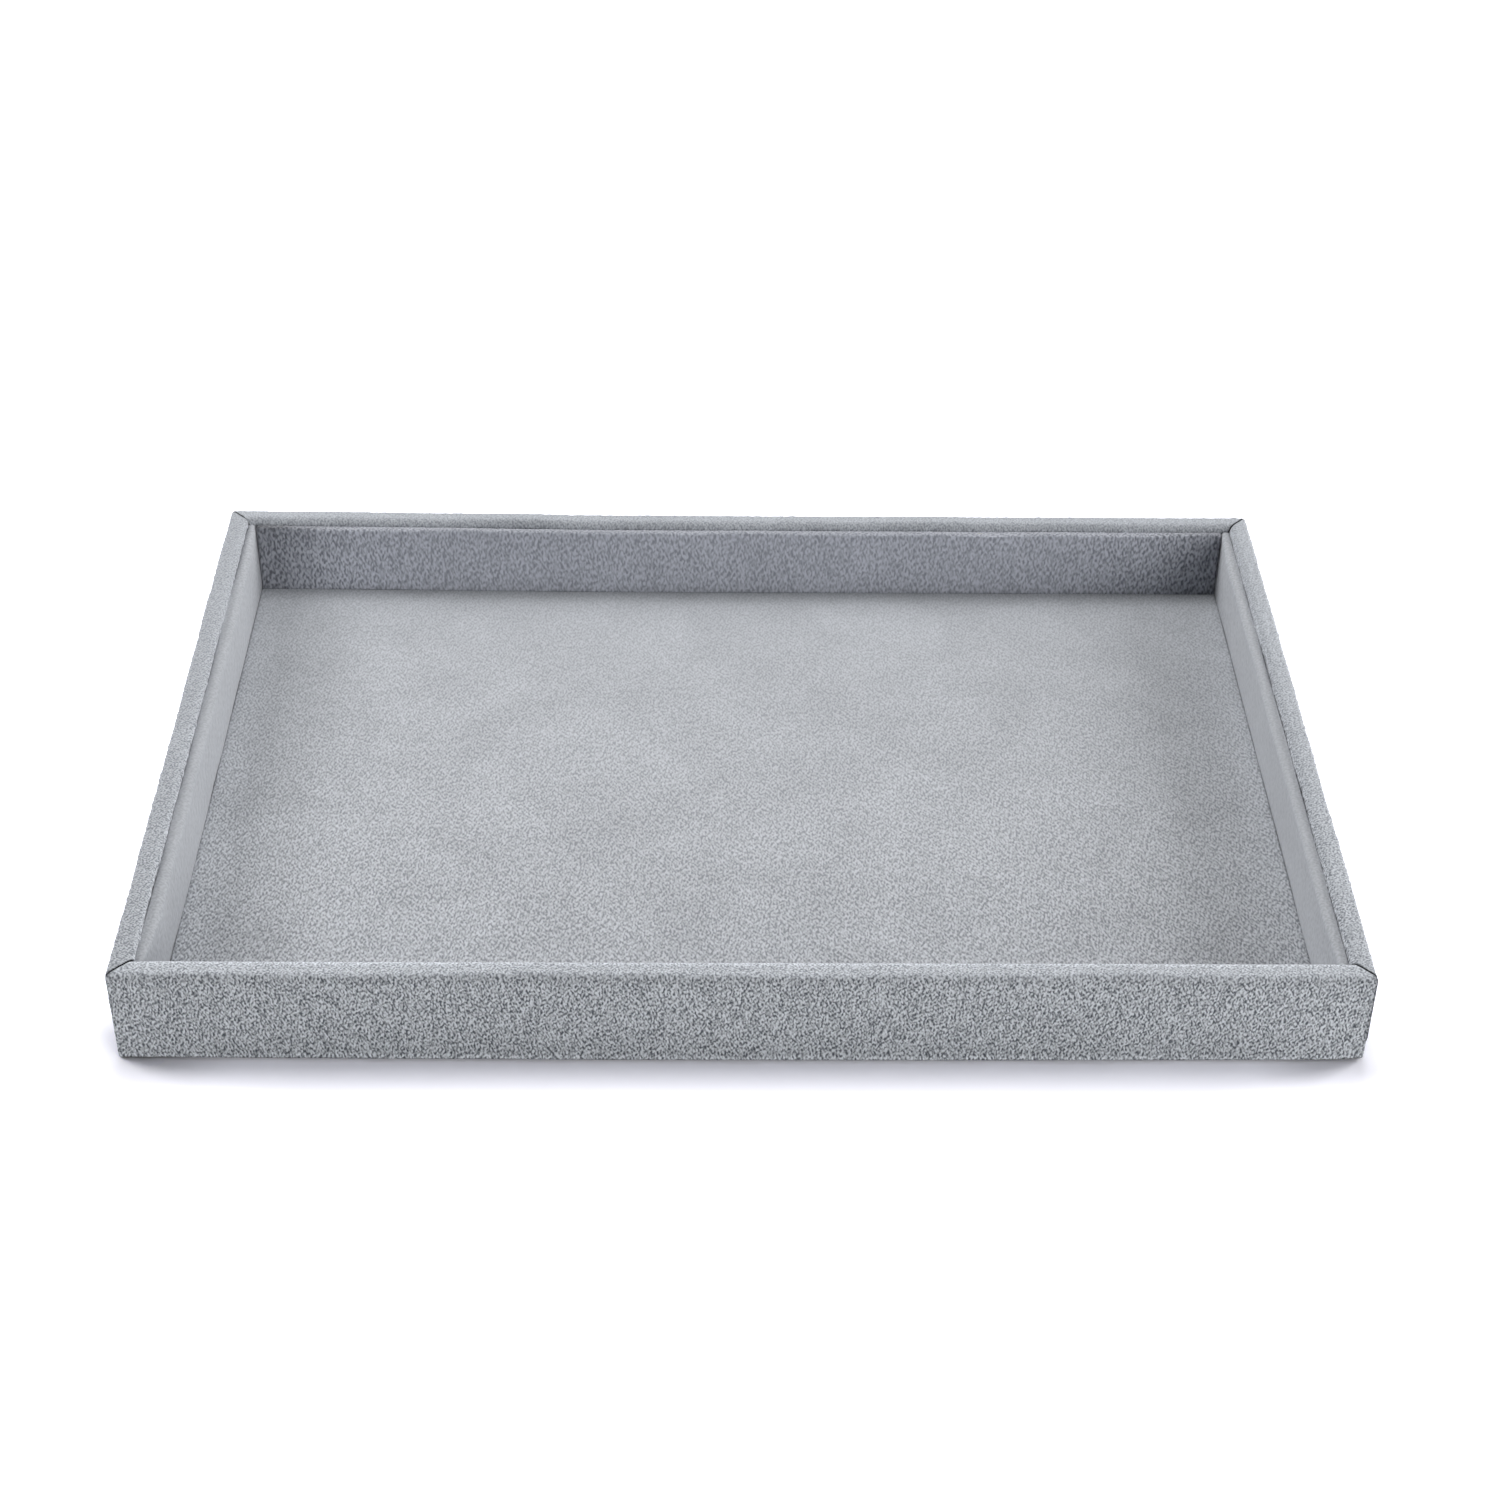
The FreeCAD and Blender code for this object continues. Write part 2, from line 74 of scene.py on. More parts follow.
def add_node(tree, kind, options, inputs):
    """Adds a node, sets its options, and gives each input, by name or number, a value or a link."""
    node = tree.nodes.new(kind)
    for name, value in options.items():
        setattr(node, name, value)
    for name, value in inputs.items():
        if isinstance(value, bpy.types.NodeSocket):
            tree.links.new(value, node.inputs[name])
        else:
            node.inputs[name].default_value = value
    return node


def new_material(name, constants):
    """A material with one Principled shader and its constant sockets set, and its Object coordinates."""
    material = bpy.data.materials.new(name)
    material.use_nodes = True
    tree = material.node_tree
    shader = tree.nodes["Principled BSDF"]
    for socket, value in constants.items():
        shader.inputs[socket].default_value = value
    place = add_node(tree, "ShaderNodeTexCoord", {}, {}).outputs["Object"]
    return material, tree, shader, place


def speckled(name, dark, light, fleck, roughness):
    """A matt material: two close colours mixed by fine noise whose flecks have the given size."""
    material, tree, shader, place = new_material(name, {"Roughness": roughness, "Specular IOR Level": 0.2})
    flecks = add_node(tree, "ShaderNodeTexNoise", {}, {"Vector": place, "Scale": 1 / fleck, "Detail": 3})
    mixed = add_node(tree, "ShaderNodeMix", {"data_type": "RGBA"},
                     {0: flecks.outputs[0], 6: linear(dark), 7: linear(light)})
    tree.links.new(mixed.outputs[2], shader.inputs["Base Color"])
    return material


def dress(node, material):
    """Gives a CAD node its material."""
    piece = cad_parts[node]
    piece.data.materials.clear()
    piece.data.materials.append(material)


# Brown fibre with pale and dark flecks, as sawn and sanded board shows.
fibreboard = speckled("fibreboard", "8f7556", "bda27d", 1.5 * MM, 0.85)
for side in SIDES:
    dress(side + "_wall_core", fibreboard)

# Corner brads and base pins
# Thin headless nails of bright drawn wire, driven through the mitres and up through the base.
# They lie inside the boards.

# Bright steel with a faint grey cast.
nail_steel = new_material(
    "nail_steel", {"Base Color": linear("b9babc"), "Metallic": 1.0, "Roughness": 0.35})[0]
for node in ("corner_brads", "base_pins"):
    dress(node, nail_steel)

# Base board
# A sheet of hardboard, pressed from brown wood fibre, that closes the tray from below.
# It is let into the rebate of the four walls and pinned to them.

# Dark brown pressed fibre with a fine fleck.
dress("base_board", speckled("hardboard", "5d4a3a", "78624d", 0.8 * MM, 0.7))

# Wall cloth
# Grey microsuede glued over each wall: up the inside face, over the rounded rim, down the outside and under.
# Each length is cut at 45 degrees at its ends, so the cut edges meet in a seam at every corner.

WALL_CLOTH = 0.6 * MM
GLUE = 0.1 * MM
INSIDE_END = 15.0 * MM
EDGE_ROUND = 1.4 * MM
FOOT_ROUND = 0.9 * MM
FOOT_SAG = 0.3 * MM
FLARE_REACH = 0.8 * MM
CORNER_ROUND = 0.7 * MM
SEAM_ROUND = 0.45 * MM
SEAM_GAP = 0.03 * MM
TABLE_GAP = 0.05 * MM
# The length of cloth round the profile, and the share of the rectangle that the cut ends leave.
# The grid's spacing where the cloth shows and where it is hidden, how it crowds towards the foot, and the
# numbers of steps in an arc, in the fine stretch at each end and in the table of the corner's bend.
WALL_SPACING = 0.8 * MM
HIDDEN_SPACING = 2.5 * MM
FOOT_CROWDING = 1.35
ARC_STEPS = 12
END_STEPS = 14
END_REACH = 3.0 * MM
BEND_STEPS = 19
# The angle from which an edge of the mesh is shaded sharp.
SHARP_ANGLE = math.radians(50)
# The unevenness of the cloth: fine fuzz and slow waves, each a sum of cosines of about one period.
FUZZ_PERIOD = 2.6 * MM
FUZZ_DEPTH = 0.10 * MM
WAVE_PERIOD = 38 * MM
WAVE_DEPTH = 0.10 * MM
COSINES = 40
COSINE_SPREAD = (0.75, 1.35)
# The round of the inner edge of each rim, how far the cloth stands fuller there, and the depths below the rim
# between which it fills out.
RIM_ROUNDS = {"front": 1.5 * MM, "right": 2.4 * MM, "back": 2.6 * MM, "left": 1.3 * MM}
RIM_FULLNESS = {"front": 0, "right": 0, "back": 0, "left": 0.4 * MM}
FULLNESS_DEPTHS = (2.6 * MM, 0.6 * MM)
# How far the cloth flares at each foot, halfway along the wall.
FOOT_FLARES = {"front": 0.8 * MM, "right": 0, "back": 0, "left": 0}
# Painted shade on top of each rim and along its inner edge; a negative share is painted light.
RIM_PAINTED_SHADES = {"front": (-0.06, -0.34), "right": (0.02, 0), "back": (0.02, 0.2), "left": (0.13, -0.06)}
RIM_EDGE = 0.9 * MM
# A darker band below the rim's outer edge, a painted highlight on the lip above the foot, and painted shade
# under it, which comes on as the cloth turns down.
BELOW_RIM_SHADE = 0.14
BELOW_RIM_DEPTH = 2.0 * MM
BELOW_RIM_REACH = 0.8 * MM
LIP_PAINTED_LIGHT = 0.3
LIP_HEIGHT = 1.15 * MM
LIP_REACH = 0.5 * MM
UNDER_PAINTED_SHADE = 0.6
UNDER_TURN = (0.1, 0.6)
# How far the nap is pressed flat on top of the rims, and at the far side of the tray.
RIM_PRESSED = 0.38
FAR_PRESSED = 0.5
# How far the back left corner is sprung up, and where the lift starts and ends along X, Y and Z.
LIFT = 1.1 * MM
LIFT_X = (-30 * MM, -160 * MM)
LIFT_Y = (-20 * MM, 100 * MM)
LIFT_Z = (1 * MM, 8 * MM)
# For the corner at the end of each wall: the share of the height that its seam runs down, how far each edge
# gapes, how far the wall's own cloth stands past the mitre, and how far the foot is tucked up.
SEAMS = {"front": (0.75, 0.14 * MM, 0.6 * MM, 0.65 * MM), "right": (0.03, 0.08 * MM, 0, 0),
         "back": (0.03, 0.05 * MM, 0, 0), "left": (0.02, 0.10 * MM, 0, 0)}
# The share of the height that every seam runs down inside, the share over which a seam closes, the reach of
# its dark line, and the reach and height of the tuck.
INSIDE_DROP = 0.09
SEAM_FADE = 0.05
SEAM_REACH = 0.3 * MM
TUCK_REACH = 9.0 * MM
TUCK_HEIGHT = 6.0 * MM


def rounded_path(corners, radii, spacings, crowding):
    """Points and outward normals along legs that meet at right angles, each corner rounded by a tangent arc.

    A leg is cut into steps of its spacing on average, which a crowding over 1 makes finer towards its end,
    and an arc into equal angles. The outside is on the right.
    """
    corners = np.array(corners)
    legs = np.diff(corners, axis=0)
    legs = legs / np.linalg.norm(legs, axis=1)[:, None]
    trims = np.array([0, *radii, 0])
    points, normals = [], []
    for k, leg in enumerate(legs):
        start = corners[k] + leg * trims[k]
        end = corners[k + 1] - leg * trims[k + 1]
        count = max(1, round(np.linalg.norm(end - start) / spacings[k]))
        points.append(end - (end - start) * np.linspace(1, 0, count + 1)[:, None] ** crowding[k])
        normals.append(np.tile([leg[1], -leg[0]], (count + 1, 1)))
        if k < len(radii):
            turn = np.linspace(0, np.pi / 2, ARC_STEPS + 1)[1:-1, None]
            way = leg * np.sin(turn) - legs[k + 1] * np.cos(turn)
            points.append(corners[k + 1] - (leg - legs[k + 1]) * radii[k] + way * radii[k])
            normals.append(way)
    return np.concatenate(points), np.concatenate(normals)


def ripples(points, period, seed):
    """Smooth noise of about one period: cosines in random directions, added and scaled to a spread of one."""
    draw = np.random.default_rng(seed)
    ways = draw.normal(size=(COSINES, 3))
    ways *= draw.uniform(*COSINE_SPREAD, (COSINES, 1)) / np.linalg.norm(ways, axis=1)[:, None]
    total = np.zeros(points.shape[:-1])
    for way, shift in zip(ways * 2 * np.pi / period, draw.uniform(0, 2 * np.pi, COSINES)):
        total += np.cos(points @ way + shift)
    return total / math.sqrt(COSINES / 2)


def ease(value, start, end):
    """A smooth step from 0 at the start to 1 at the end: thrice the share squared, less twice its cube."""
    share = np.clip((value - start) / (end - start), 0, 1)
    return share ** 2 * (3 - 2 * share)


def bell(distance, reach):
    """A smooth hump, 1 at no distance: e to the power of minus the square of the distance over the reach."""
    return np.exp(-(distance / reach) ** 2)


def roll_in(distance, radius):
    """How far a surface has rolled in at a distance from its cut edge: a quarter circle of that radius."""
    short = np.clip(radius - distance, 0, radius)
    return radius - np.sqrt(radius ** 2 - short ** 2)


def stations(reach, spacing, half):
    """Places along a length, fine near its ends: shares of its middle, and the distances to each end."""
    near = reach * np.linspace(0, 1, END_STEPS + 1)[:-1] ** 2
    middle = np.linspace(-1, 1, round(2 * half / spacing) + 1)
    share = np.concatenate((np.full(near.size, -1.0), middle, np.full(near.size, 1.0)))
    start = np.concatenate((near, np.full(middle.size + near.size, reach)))
    return share, start, start[::-1]


def to_side(side, along, depth, height):
    """Points of the tray's frame from the length along a wall, the depth from its outside and the height."""
    out = np.array(SIDES[side])
    low, high = (np.array(corner) for corner in cad_bounds)
    across = abs(out @ ((high - low)[:2] / 2))
    flat = along[..., None] * np.array((-out[1], out[0])) + (across - depth)[..., None] * out
    return np.concatenate((flat, np.broadcast_to(height, along.shape)[..., None]), -1)


def outward(side, normal, count):
    """A profile's normals as directions of the tray's frame, repeated at every place along the wall."""
    none = np.zeros((len(normal), count))
    return to_side(side, none, none - normal[:, :1], normal[:, 1:]) - to_side(side, none, none, none)


def sprung(points):
    """The points with the tray's back left corner sprung up, all but its foot, which stays on the table."""
    lift = LIFT * ease(points[..., 0], *LIFT_X) * ease(points[..., 1], *LIFT_Y)
    lift = lift * ease(points[..., 2], *LIFT_Z)
    return points + lift[..., None] * np.array((0, 0, 1))


def cloth_shell(name, outer, inner, **marks):
    """A closed cloth from two equal grids of points: an outer face, an inner face and a strip round them.

    The outer face looks along its rows crossed with its columns. The marks are kept at each point for the
    material: the nap, from 0 for pressed flat to 1 for standing, and the shade, mostly painted shade and
    painted light, which darkens the cloth by its share and lightens it where it is negative.
    """
    rows, columns = outer.shape[:2]
    index = np.arange(rows * columns).reshape(rows, columns)
    quads = np.stack((index[:-1, :-1], index[1:, :-1], index[1:, 1:], index[:-1, 1:]), -1).reshape(-1, 4)
    edge = np.concatenate((index[0, :-1], index[:-1, -1], index[-1, :0:-1], index[:0:-1, 0]))
    after = np.roll(edge, -1)
    strip = np.stack((edge, after, after + index.size, edge + index.size), -1)
    faces = np.concatenate((quads, quads[:, ::-1] + index.size, strip))
    mesh = bpy.data.meshes.new(name)
    mesh.from_pydata(sprung(np.concatenate((outer.reshape(-1, 3), inner.reshape(-1, 3)))), [], faces)
    mesh.validate()
    mesh.shade_smooth()
    mesh.set_sharp_from_angle(angle=SHARP_ANGLE)
    for mark, level in marks.items():
        values = np.tile(np.broadcast_to(level, outer.shape[:2]).ravel(), 2)
        mesh.attributes.new(mark, "FLOAT", "POINT").data.foreach_set("value", values.astype(np.float32))
    piece = bpy.data.objects.new(name, mesh)
    bpy.context.scene.collection.objects.link(piece)
    return piece


def wall_cloth(side, before):
    """The cloth of one wall: a profile carried along the wall, with both ends on the mitres.

    The profile runs up the inside, over the rim, down the outside and under. Near each end the outside
    turns by a quarter circle round the corner, and an open seam's edges roll in by a smaller one.
    """
    low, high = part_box(side + "_wall_wrap")
    core_low, core_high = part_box(side + "_wall_core")
    axis = 1 if SIDES[side][0] == 0 else 0
    inside = core_high[axis] - core_low[axis] + 2 * (WALL_CLOTH + GLUE)
    under = high[axis] - low[axis]
    top = high.z
    foot = low.z
    legs = [(inside, INSIDE_END), (inside, top), (0, top), (0, foot), (under, foot)]
    path, normal = rounded_path(legs, (RIM_ROUNDS[side], EDGE_ROUND, FOOT_ROUND),
                                (HIDDEN_SPACING, WALL_SPACING, WALL_SPACING, HIDDEN_SPACING),
                                (1, 1, FOOT_CROWDING, 1))
    depth, height = path[:, :1], path[:, 1:]
    outness = np.clip(-normal[:, :1], 0, 1)
    up = np.clip(normal[:, 1:], 0, 1)
    half = (cad_bounds[1][1 - axis] - cad_bounds[0][1 - axis]) / 2
    share, start, end = stations(END_REACH, WALL_SPACING, half)
    above = np.maximum(height - foot - FOOT_ROUND, 0)
    flare = FOOT_FLARES[side] * bell(above, FLARE_REACH) * ease(depth, 5 * FLARE_REACH, FLARE_REACH)
    filled = ease(top - height, *FULLNESS_DEPTHS) * ease(depth, inside / 2, inside)
    bulged = depth + RIM_FULLNESS[side] * filled - flare * (1 - share ** 2)
    sag = FOOT_SAG * bell(depth, 2 * FLARE_REACH) * ease(height, foot + 2 * FLARE_REACH, foot)
    raised = height - sag
    # Painted shade and light on the rim: a painted highlight along the front rim's inner edge, and painted
    # shade on the back rim's inner arc and on the left rim's top.
    on_top, on_edge = RIM_PAINTED_SHADES[side]
    shade = on_top * up + on_edge * bell(depth - inside + RIM_EDGE, RIM_EDGE) * (up > 0)
    # A darker band below the rim's outer edge.
    shade = shade + BELOW_RIM_SHADE * outness * bell(top - height - BELOW_RIM_DEPTH, BELOW_RIM_REACH)
    # A painted highlight on the lip above the foot.
    shade = shade - LIP_PAINTED_LIGHT * outness * bell(height - foot - LIP_HEIGHT, LIP_REACH)
    # Painted shade under the foot, where the cloth turns down.
    turned = ease(-normal[:, 1:], *UNDER_TURN) * ease(depth, 2 * FLARE_REACH, FLARE_REACH)
    shade = shade + UNDER_PAINTED_SHADE * turned
    rolled, setback = 0, []
    for near, sense, corner in ((start, 1, before), (end, -1, side)):
        drop, gape, proud, tuck = SEAMS[corner]
        inland = near + half * (1 + sense * share)
        tucked = ease(inland, TUCK_REACH, 0) * ease(raised, foot + TUCK_HEIGHT, foot)
        raised = raised + tuck * tucked * ease(depth, 2 * FLARE_REACH, 0)
        drop = np.where(depth > inside / 2, INSIDE_DROP, drop)
        opened = np.clip((raised / top - 1 + drop) / SEAM_FADE + 0.5, 0, 1)
        angle = np.linspace(np.pi / 4, 0, BEND_STEPS + 1)
        bend = CORNER_ROUND * np.interp(near / CORNER_ROUND, np.cos(angle) - np.sin(angle), 1 - np.cos(angle))
        rolled = rolled + outness * bend + opened * roll_in(near, SEAM_ROUND)
        # An open seam's edges are darker: partly the cut edge's own colour, partly painted shade in the gap.
        shade = shade + opened * bell(near / (1 + outness), SEAM_REACH + gape)
        setback.append(SEAM_GAP + opened * (gape + sense * proud))
    layers = []
    for sunk in (rolled, WALL_CLOTH):
        deep = bulged - sunk * normal[:, :1]
        tall = raised - sunk * normal[:, 1:]
        first = half - setback[0] - deep - start
        last = half - setback[1] - deep - end
        along = np.where(share < 0, share * first, share * last)
        layers.append(to_side(side, along, deep, tall))
    calm = 1 - bell(np.minimum(start, end), SEAM_ROUND)
    relief = FUZZ_DEPTH * ripples(layers[0], FUZZ_PERIOD, seed=11)
    relief = relief + WAVE_DEPTH * ripples(layers[0], WAVE_PERIOD, seed=12)
    layers[0] = layers[0] + outward(side, normal, share.size) * (calm * relief)[..., None]
    layers[0][..., 2] = np.maximum(layers[0][..., 2], TABLE_GAP)
    far = ease(layers[0][..., 1], cad_bounds[0][1], cad_bounds[1][1])
    nap = (1 - RIM_PRESSED * up) * (1 - FAR_PRESSED * far)
    return cloth_shell(side + "_wall_cloth", *layers, nap=nap, shade=shade)


# The ways to the four places round a spot that its tuft is measured against, how far off they are as a share
# of the tuft, the noise's cells to a tuft, how they are twisted and turned, and its range from root to tip.
TUFT_AROUND = ((1, 1, 1), (1, -1, -1), (-1, 1, -1), (-1, -1, 1))
TUFT_OFFSET = 0.36
TUFT_CELLS = 1.5
TUFT_TWIST = 0.4
TUFT_TURN = (0.6, 0.45, 0.7)
TUFT_RANGE = (-0.37, 0.33)
# The width of a brush stroke, the range of its noise, and the level that a full shade leaves of the colour.
STROKE = 30 * MM
STROKE_RANGE = (0.3, 0.7)
SHADED_LEVEL = 0.05


def microsuede(name, dark, light, tuft, stretch, nap_share, bump, mottle):
    """Napped cloth: tufts of one size, stretched along an axis, that shade from dark roots to light tips.

    A tuft is a smooth noise less the mean of the same noise at four places round it. The piece's nap and the
    nap's share set how far the tufts show. A soft mottle as wide as a brush stroke stands for the lie of the
    nap, the piece's shade mark, mostly painted shade and painted light, darkens or lightens it, and the sheen
    stands for its standing fibres.
    """
    material, tree, shader, place = new_material(
        name, {"Roughness": 0.95, "Specular IOR Level": 0.1, "Sheen Weight": 0.3, "Sheen Roughness": 0.4})
    drawn = add_node(tree, "ShaderNodeMapping", {},
                     {"Vector": place, "Scale": stretch, "Rotation": TUFT_TURN}).outputs[0]
    fibres = []
    for way in ((0, 0, 0), *TUFT_AROUND):
        shift = tuple(TUFT_OFFSET * tuft * k for k in way)
        spot = add_node(tree, "ShaderNodeVectorMath", {}, {0: drawn, 1: shift}).outputs[0]
        noise = {"Vector": spot, "Scale": TUFT_CELLS / tuft, "Detail": 0.0, "Distortion": TUFT_TWIST}
        fibres.append(add_node(tree, "ShaderNodeTexNoise", {}, noise).outputs[0])
    around = fibres[1]
    for fibre in fibres[2:]:
        around = add_node(tree, "ShaderNodeMath", {}, {0: around, 1: fibre}).outputs[0]
    proud = add_node(tree, "ShaderNodeMath", {"operation": "MULTIPLY_ADD"},
                     {0: around, 1: -1 / len(TUFT_AROUND), 2: fibres[0]}).outputs[0]
    relief = add_node(tree, "ShaderNodeMapRange", {"interpolation_type": "SMOOTHSTEP"},
                      {"Value": proud, "From Min": TUFT_RANGE[0], "From Max": TUFT_RANGE[1]}).outputs[0]
    standing = add_node(tree, "ShaderNodeAttribute", {"attribute_name": "nap"}, {}).outputs["Fac"]
    raised = add_node(tree, "ShaderNodeMath", {"operation": "MULTIPLY"},
                      {0: standing, 1: nap_share}).outputs[0]
    tips = add_node(tree, "ShaderNodeMix", {}, {0: raised, 2: 0.5, 3: relief}).outputs[0]
    nap = add_node(tree, "ShaderNodeMix", {"data_type": "RGBA"},
                   {0: tips, 6: linear(dark), 7: linear(light)}).outputs[2]
    noise = {"Vector": place, "Scale": 1 / STROKE, "Detail": 4, "Roughness": 0.6, "Distortion": 0.6}
    strokes = add_node(tree, "ShaderNodeTexNoise", {}, noise).outputs[0]
    lie = add_node(tree, "ShaderNodeMapRange", {},
                   {"Value": strokes, "From Min": STROKE_RANGE[0], "From Max": STROKE_RANGE[1],
                    "To Min": 1 - mottle, "To Max": 1 + mottle}).outputs[0]
    mark = add_node(tree, "ShaderNodeAttribute", {"attribute_name": "shade"}, {}).outputs["Fac"]
    shade = add_node(tree, "ShaderNodeMapRange", {"clamp": False},
                     {"Value": mark, "To Min": 1.0, "To Max": SHADED_LEVEL}).outputs[0]
    level = add_node(tree, "ShaderNodeMath", {"operation": "MULTIPLY"}, {0: lie, 1: shade}).outputs[0]
    brushed = add_node(tree, "ShaderNodeVectorMath", {"operation": "SCALE"},
                       {0: nap, "Scale": level}).outputs[0]
    tree.links.new(brushed, shader.inputs["Base Color"])
    dents = add_node(tree, "ShaderNodeBump", {}, {"Height": tips, "Strength": 1.0, "Distance": bump})
    tree.links.new(dents.outputs[0], shader.inputs["Normal"])
    return material


# Cool light grey, darker between the tufts, with a strong salt-and-pepper grain.
wall_suede = microsuede("wall_microsuede", "5a5e65", "dbdfe5", tuft=1.0 * MM, stretch=(1.15, 1.15, 0.7),
                        nap_share=1.0, bump=0.12 * MM, mottle=0.03)
walls = list(SIDES)
for k, side in enumerate(walls):
    piece = wall_cloth(side, walls[k - 1])
    piece.data.materials.append(wall_suede)
    node = side + "_wall_wrap"
    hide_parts(node)
    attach(piece, "root")
    low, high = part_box(node)

# Liner boards
# Greyboard strips, cut a little lower than the walls, that stiffen the liners.
# Each is covered with cloth and then glued to the inside of its wall.

# Flat grey recycled board with pale and dark flecks.
greyboard = speckled("greyboard", "a09e99", "b6b3ad", 1.0 * MM, 0.9)
for side in SIDES:
    dress(side + "_liner_board", greyboard)

# Liner cloth
# The same microsuede over each liner board: up the face that shows, over the rounded top and down the back.
# The short liners run from wall to wall and the long ones stand between them, 1.9 mm below the rim.

LINER_CLOTH = 0.5 * MM
LINER_BACK_END = 18.9 * MM
LINER_BACK_ROUND = 0.35 * MM
LINER_SPACING = 0.8 * MM
# The round of each end, and the share of the cloth's thickness that it may roll in by.
LINER_END_ROUND = 0.7 * MM
LINER_ROLL = 0.8
# The share of the walls' fuzz that the liners have.
LINER_FUZZ = 0.4
# The round of each liner's upper edge, how far its top slants to the wall, and how far its face leans in.
LINER_ROUNDS = {"front": 2.0 * MM, "right": 1.5 * MM, "back": 1.0 * MM, "left": 1.5 * MM}
LINER_SLANTS = {"front": 0.5 * MM, "right": 0.3 * MM, "back": 0.5 * MM, "left": 0}
LINER_LEANS = {"front": 0, "right": 1.0 * MM, "back": 0.4 * MM, "left": 1.4 * MM}
LEAN_REACH = 25 * MM
# Painted shade on each liner as a whole, more on its top, and more at the start and end of its run, where
# the side walls shade the back liner; a negative share is painted light.
LINER_PAINTED_SHADES = {"front": (0, 0, 0, 0), "right": (-0.06, 0, 0, 0),
                "back": (0, 0.26, 0.26, 0.5), "left": (0.04, 0, 0, 0)}
END_SHADE_REACH = 20 * MM
# How far the nap stands along the middle of a liner, and how much further at its ends.
LINER_NAP = 0.63
END_NAP = 0.37
END_NAP_REACH = 40 * MM


def liner_cloth(side):
    """The cloth of one liner: a profile carried along its board, with each end rolled in by a quarter circle.

    The face leans in towards its top, less so near its ends, and the top slants down to the wall.
    """
    low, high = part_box(side + "_liner_wrap")
    axis = 1 if SIDES[side][0] == 0 else 0
    edge = abs(cad_bounds[0][axis])
    behind, face = sorted((edge - abs(low[axis]), edge - abs(high[axis])))
    half = high[1 - axis]
    legs = [(face, low.z), (face, high.z), (behind, high.z), (behind, LINER_BACK_END)]
    path, normal = rounded_path(legs, (LINER_ROUNDS[side], LINER_BACK_ROUND),
                                (LINER_SPACING, LINER_SPACING, HIDDEN_SPACING), (1, 1, 1))
    depth, height = path[:, :1], path[:, 1:]
    up = np.clip(normal[:, 1:], 0, 1)
    raised = (height - low.z) / (high.z - low.z)
    out = (depth - behind) / (face - behind)
    share, start, end = stations(END_REACH, LINER_SPACING, half)
    along = np.where(share < 0, share * (half - start), share * (half - end)) + 0 * depth
    inland = half - np.abs(along)
    lean = LINER_LEANS[side] * raised * out * ease(inland, 0, LEAN_REACH)
    slant = LINER_SLANTS[side] * (1 - out)
    rolled = roll_in(start, LINER_END_ROUND) + roll_in(end, LINER_END_ROUND)
    layers = []
    for sunk in (np.minimum(rolled, LINER_ROLL * LINER_CLOTH), LINER_CLOTH):
        deep = depth + lean - sunk * normal[:, :1]
        tall = height - slant - sunk * normal[:, 1:]
        layers.append(to_side(side, along, deep, tall))
    relief = LINER_FUZZ * FUZZ_DEPTH * ripples(layers[0], FUZZ_PERIOD, seed=21)
    relief = relief + WAVE_DEPTH * ripples(layers[0], WAVE_PERIOD, seed=22)
    shown = np.clip(normal[:, :1] + normal[:, 1:], 0, 1)
    layers[0] = layers[0] + outward(side, normal, share.size) * (shown * relief)[..., None]
    # Painted shade on the liner, its top and its ends, and painted light where the share is negative.
    whole, on_top, at_start, at_end = LINER_PAINTED_SHADES[side]
    shade = whole + on_top * up + np.where(along < 0, at_start, at_end) * bell(inland, END_SHADE_REACH)
    nap = LINER_NAP + END_NAP * bell(inland, END_NAP_REACH)
    return cloth_shell(side + "_liner_cloth", *layers, nap=nap, shade=shade)


# Blue-grey nap brushed up and down, so it shows upright streaks.
long_suede = microsuede("liner_microsuede_long", "5b5e66", "dcdfe9", tuft=1.1 * MM, stretch=(1, 1, 0.48),
                        nap_share=0.68, bump=0.12 * MM, mottle=0.05)
# The same cloth with its nap pressed flat, so it shows almost no grain.
short_suede = microsuede("liner_microsuede_short", "5b5e64", "dcdfe4", tuft=1.1 * MM, stretch=(1, 1, 0.5),
                         nap_share=0.19, bump=0.12 * MM, mottle=0.03)
for side in SIDES:
    is_long = side in ("front", "back")
    piece = liner_cloth(side)
    piece.data.materials.append(long_suede if is_long else short_suede)
    node = side + "_liner_wrap"
    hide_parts(node)
    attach(piece, "root")
    low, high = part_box(node)

# Floor card
# A thin card of the same greyboard, cut to drop in between the liners and laid on the base.
# The floor's foam and cloth are made up on it.

dress("floor_card", greyboard)

# Floor wadding
# A thin sheet of open polyurethane foam that pads the floor.
# It is laid on the card and held by the cloth, which rounds its edges.

FOAM_SPACING = 6 * MM
FOAM_ARC_STEPS = 4


def edged_grid(low, high, spacing, fine, inset=0):
    """Places over a rectangle, and how far each is from the nearest edge.

    They lie on lines that are evenly spaced, but for a few at the given fine distances from each edge.
    """
    axes = []
    for k in (0, 1):
        count = round((high[k] - low[k]) / spacing) + 1
        first, last = low[k] + inset, high[k] - inset
        middle = np.linspace(first + fine[-1], last - fine[-1], count)
        axes.append(np.concatenate((first + fine[:-1], middle, (last - fine[:-1])[::-1])))
    x, y = np.meshgrid(*axes, indexing="ij")
    near = np.minimum(np.minimum(x - x[0, 0], x[-1, 0] - x), np.minimum(y - y[0, 0], y[0, -1] - y))
    return x, y, near


def arc_distances(radius, steps):
    """Distances from an edge that cut a quarter circle of that radius into equal angles."""
    return radius * (1 - np.cos(np.linspace(0, np.pi / 2, steps + 1)))


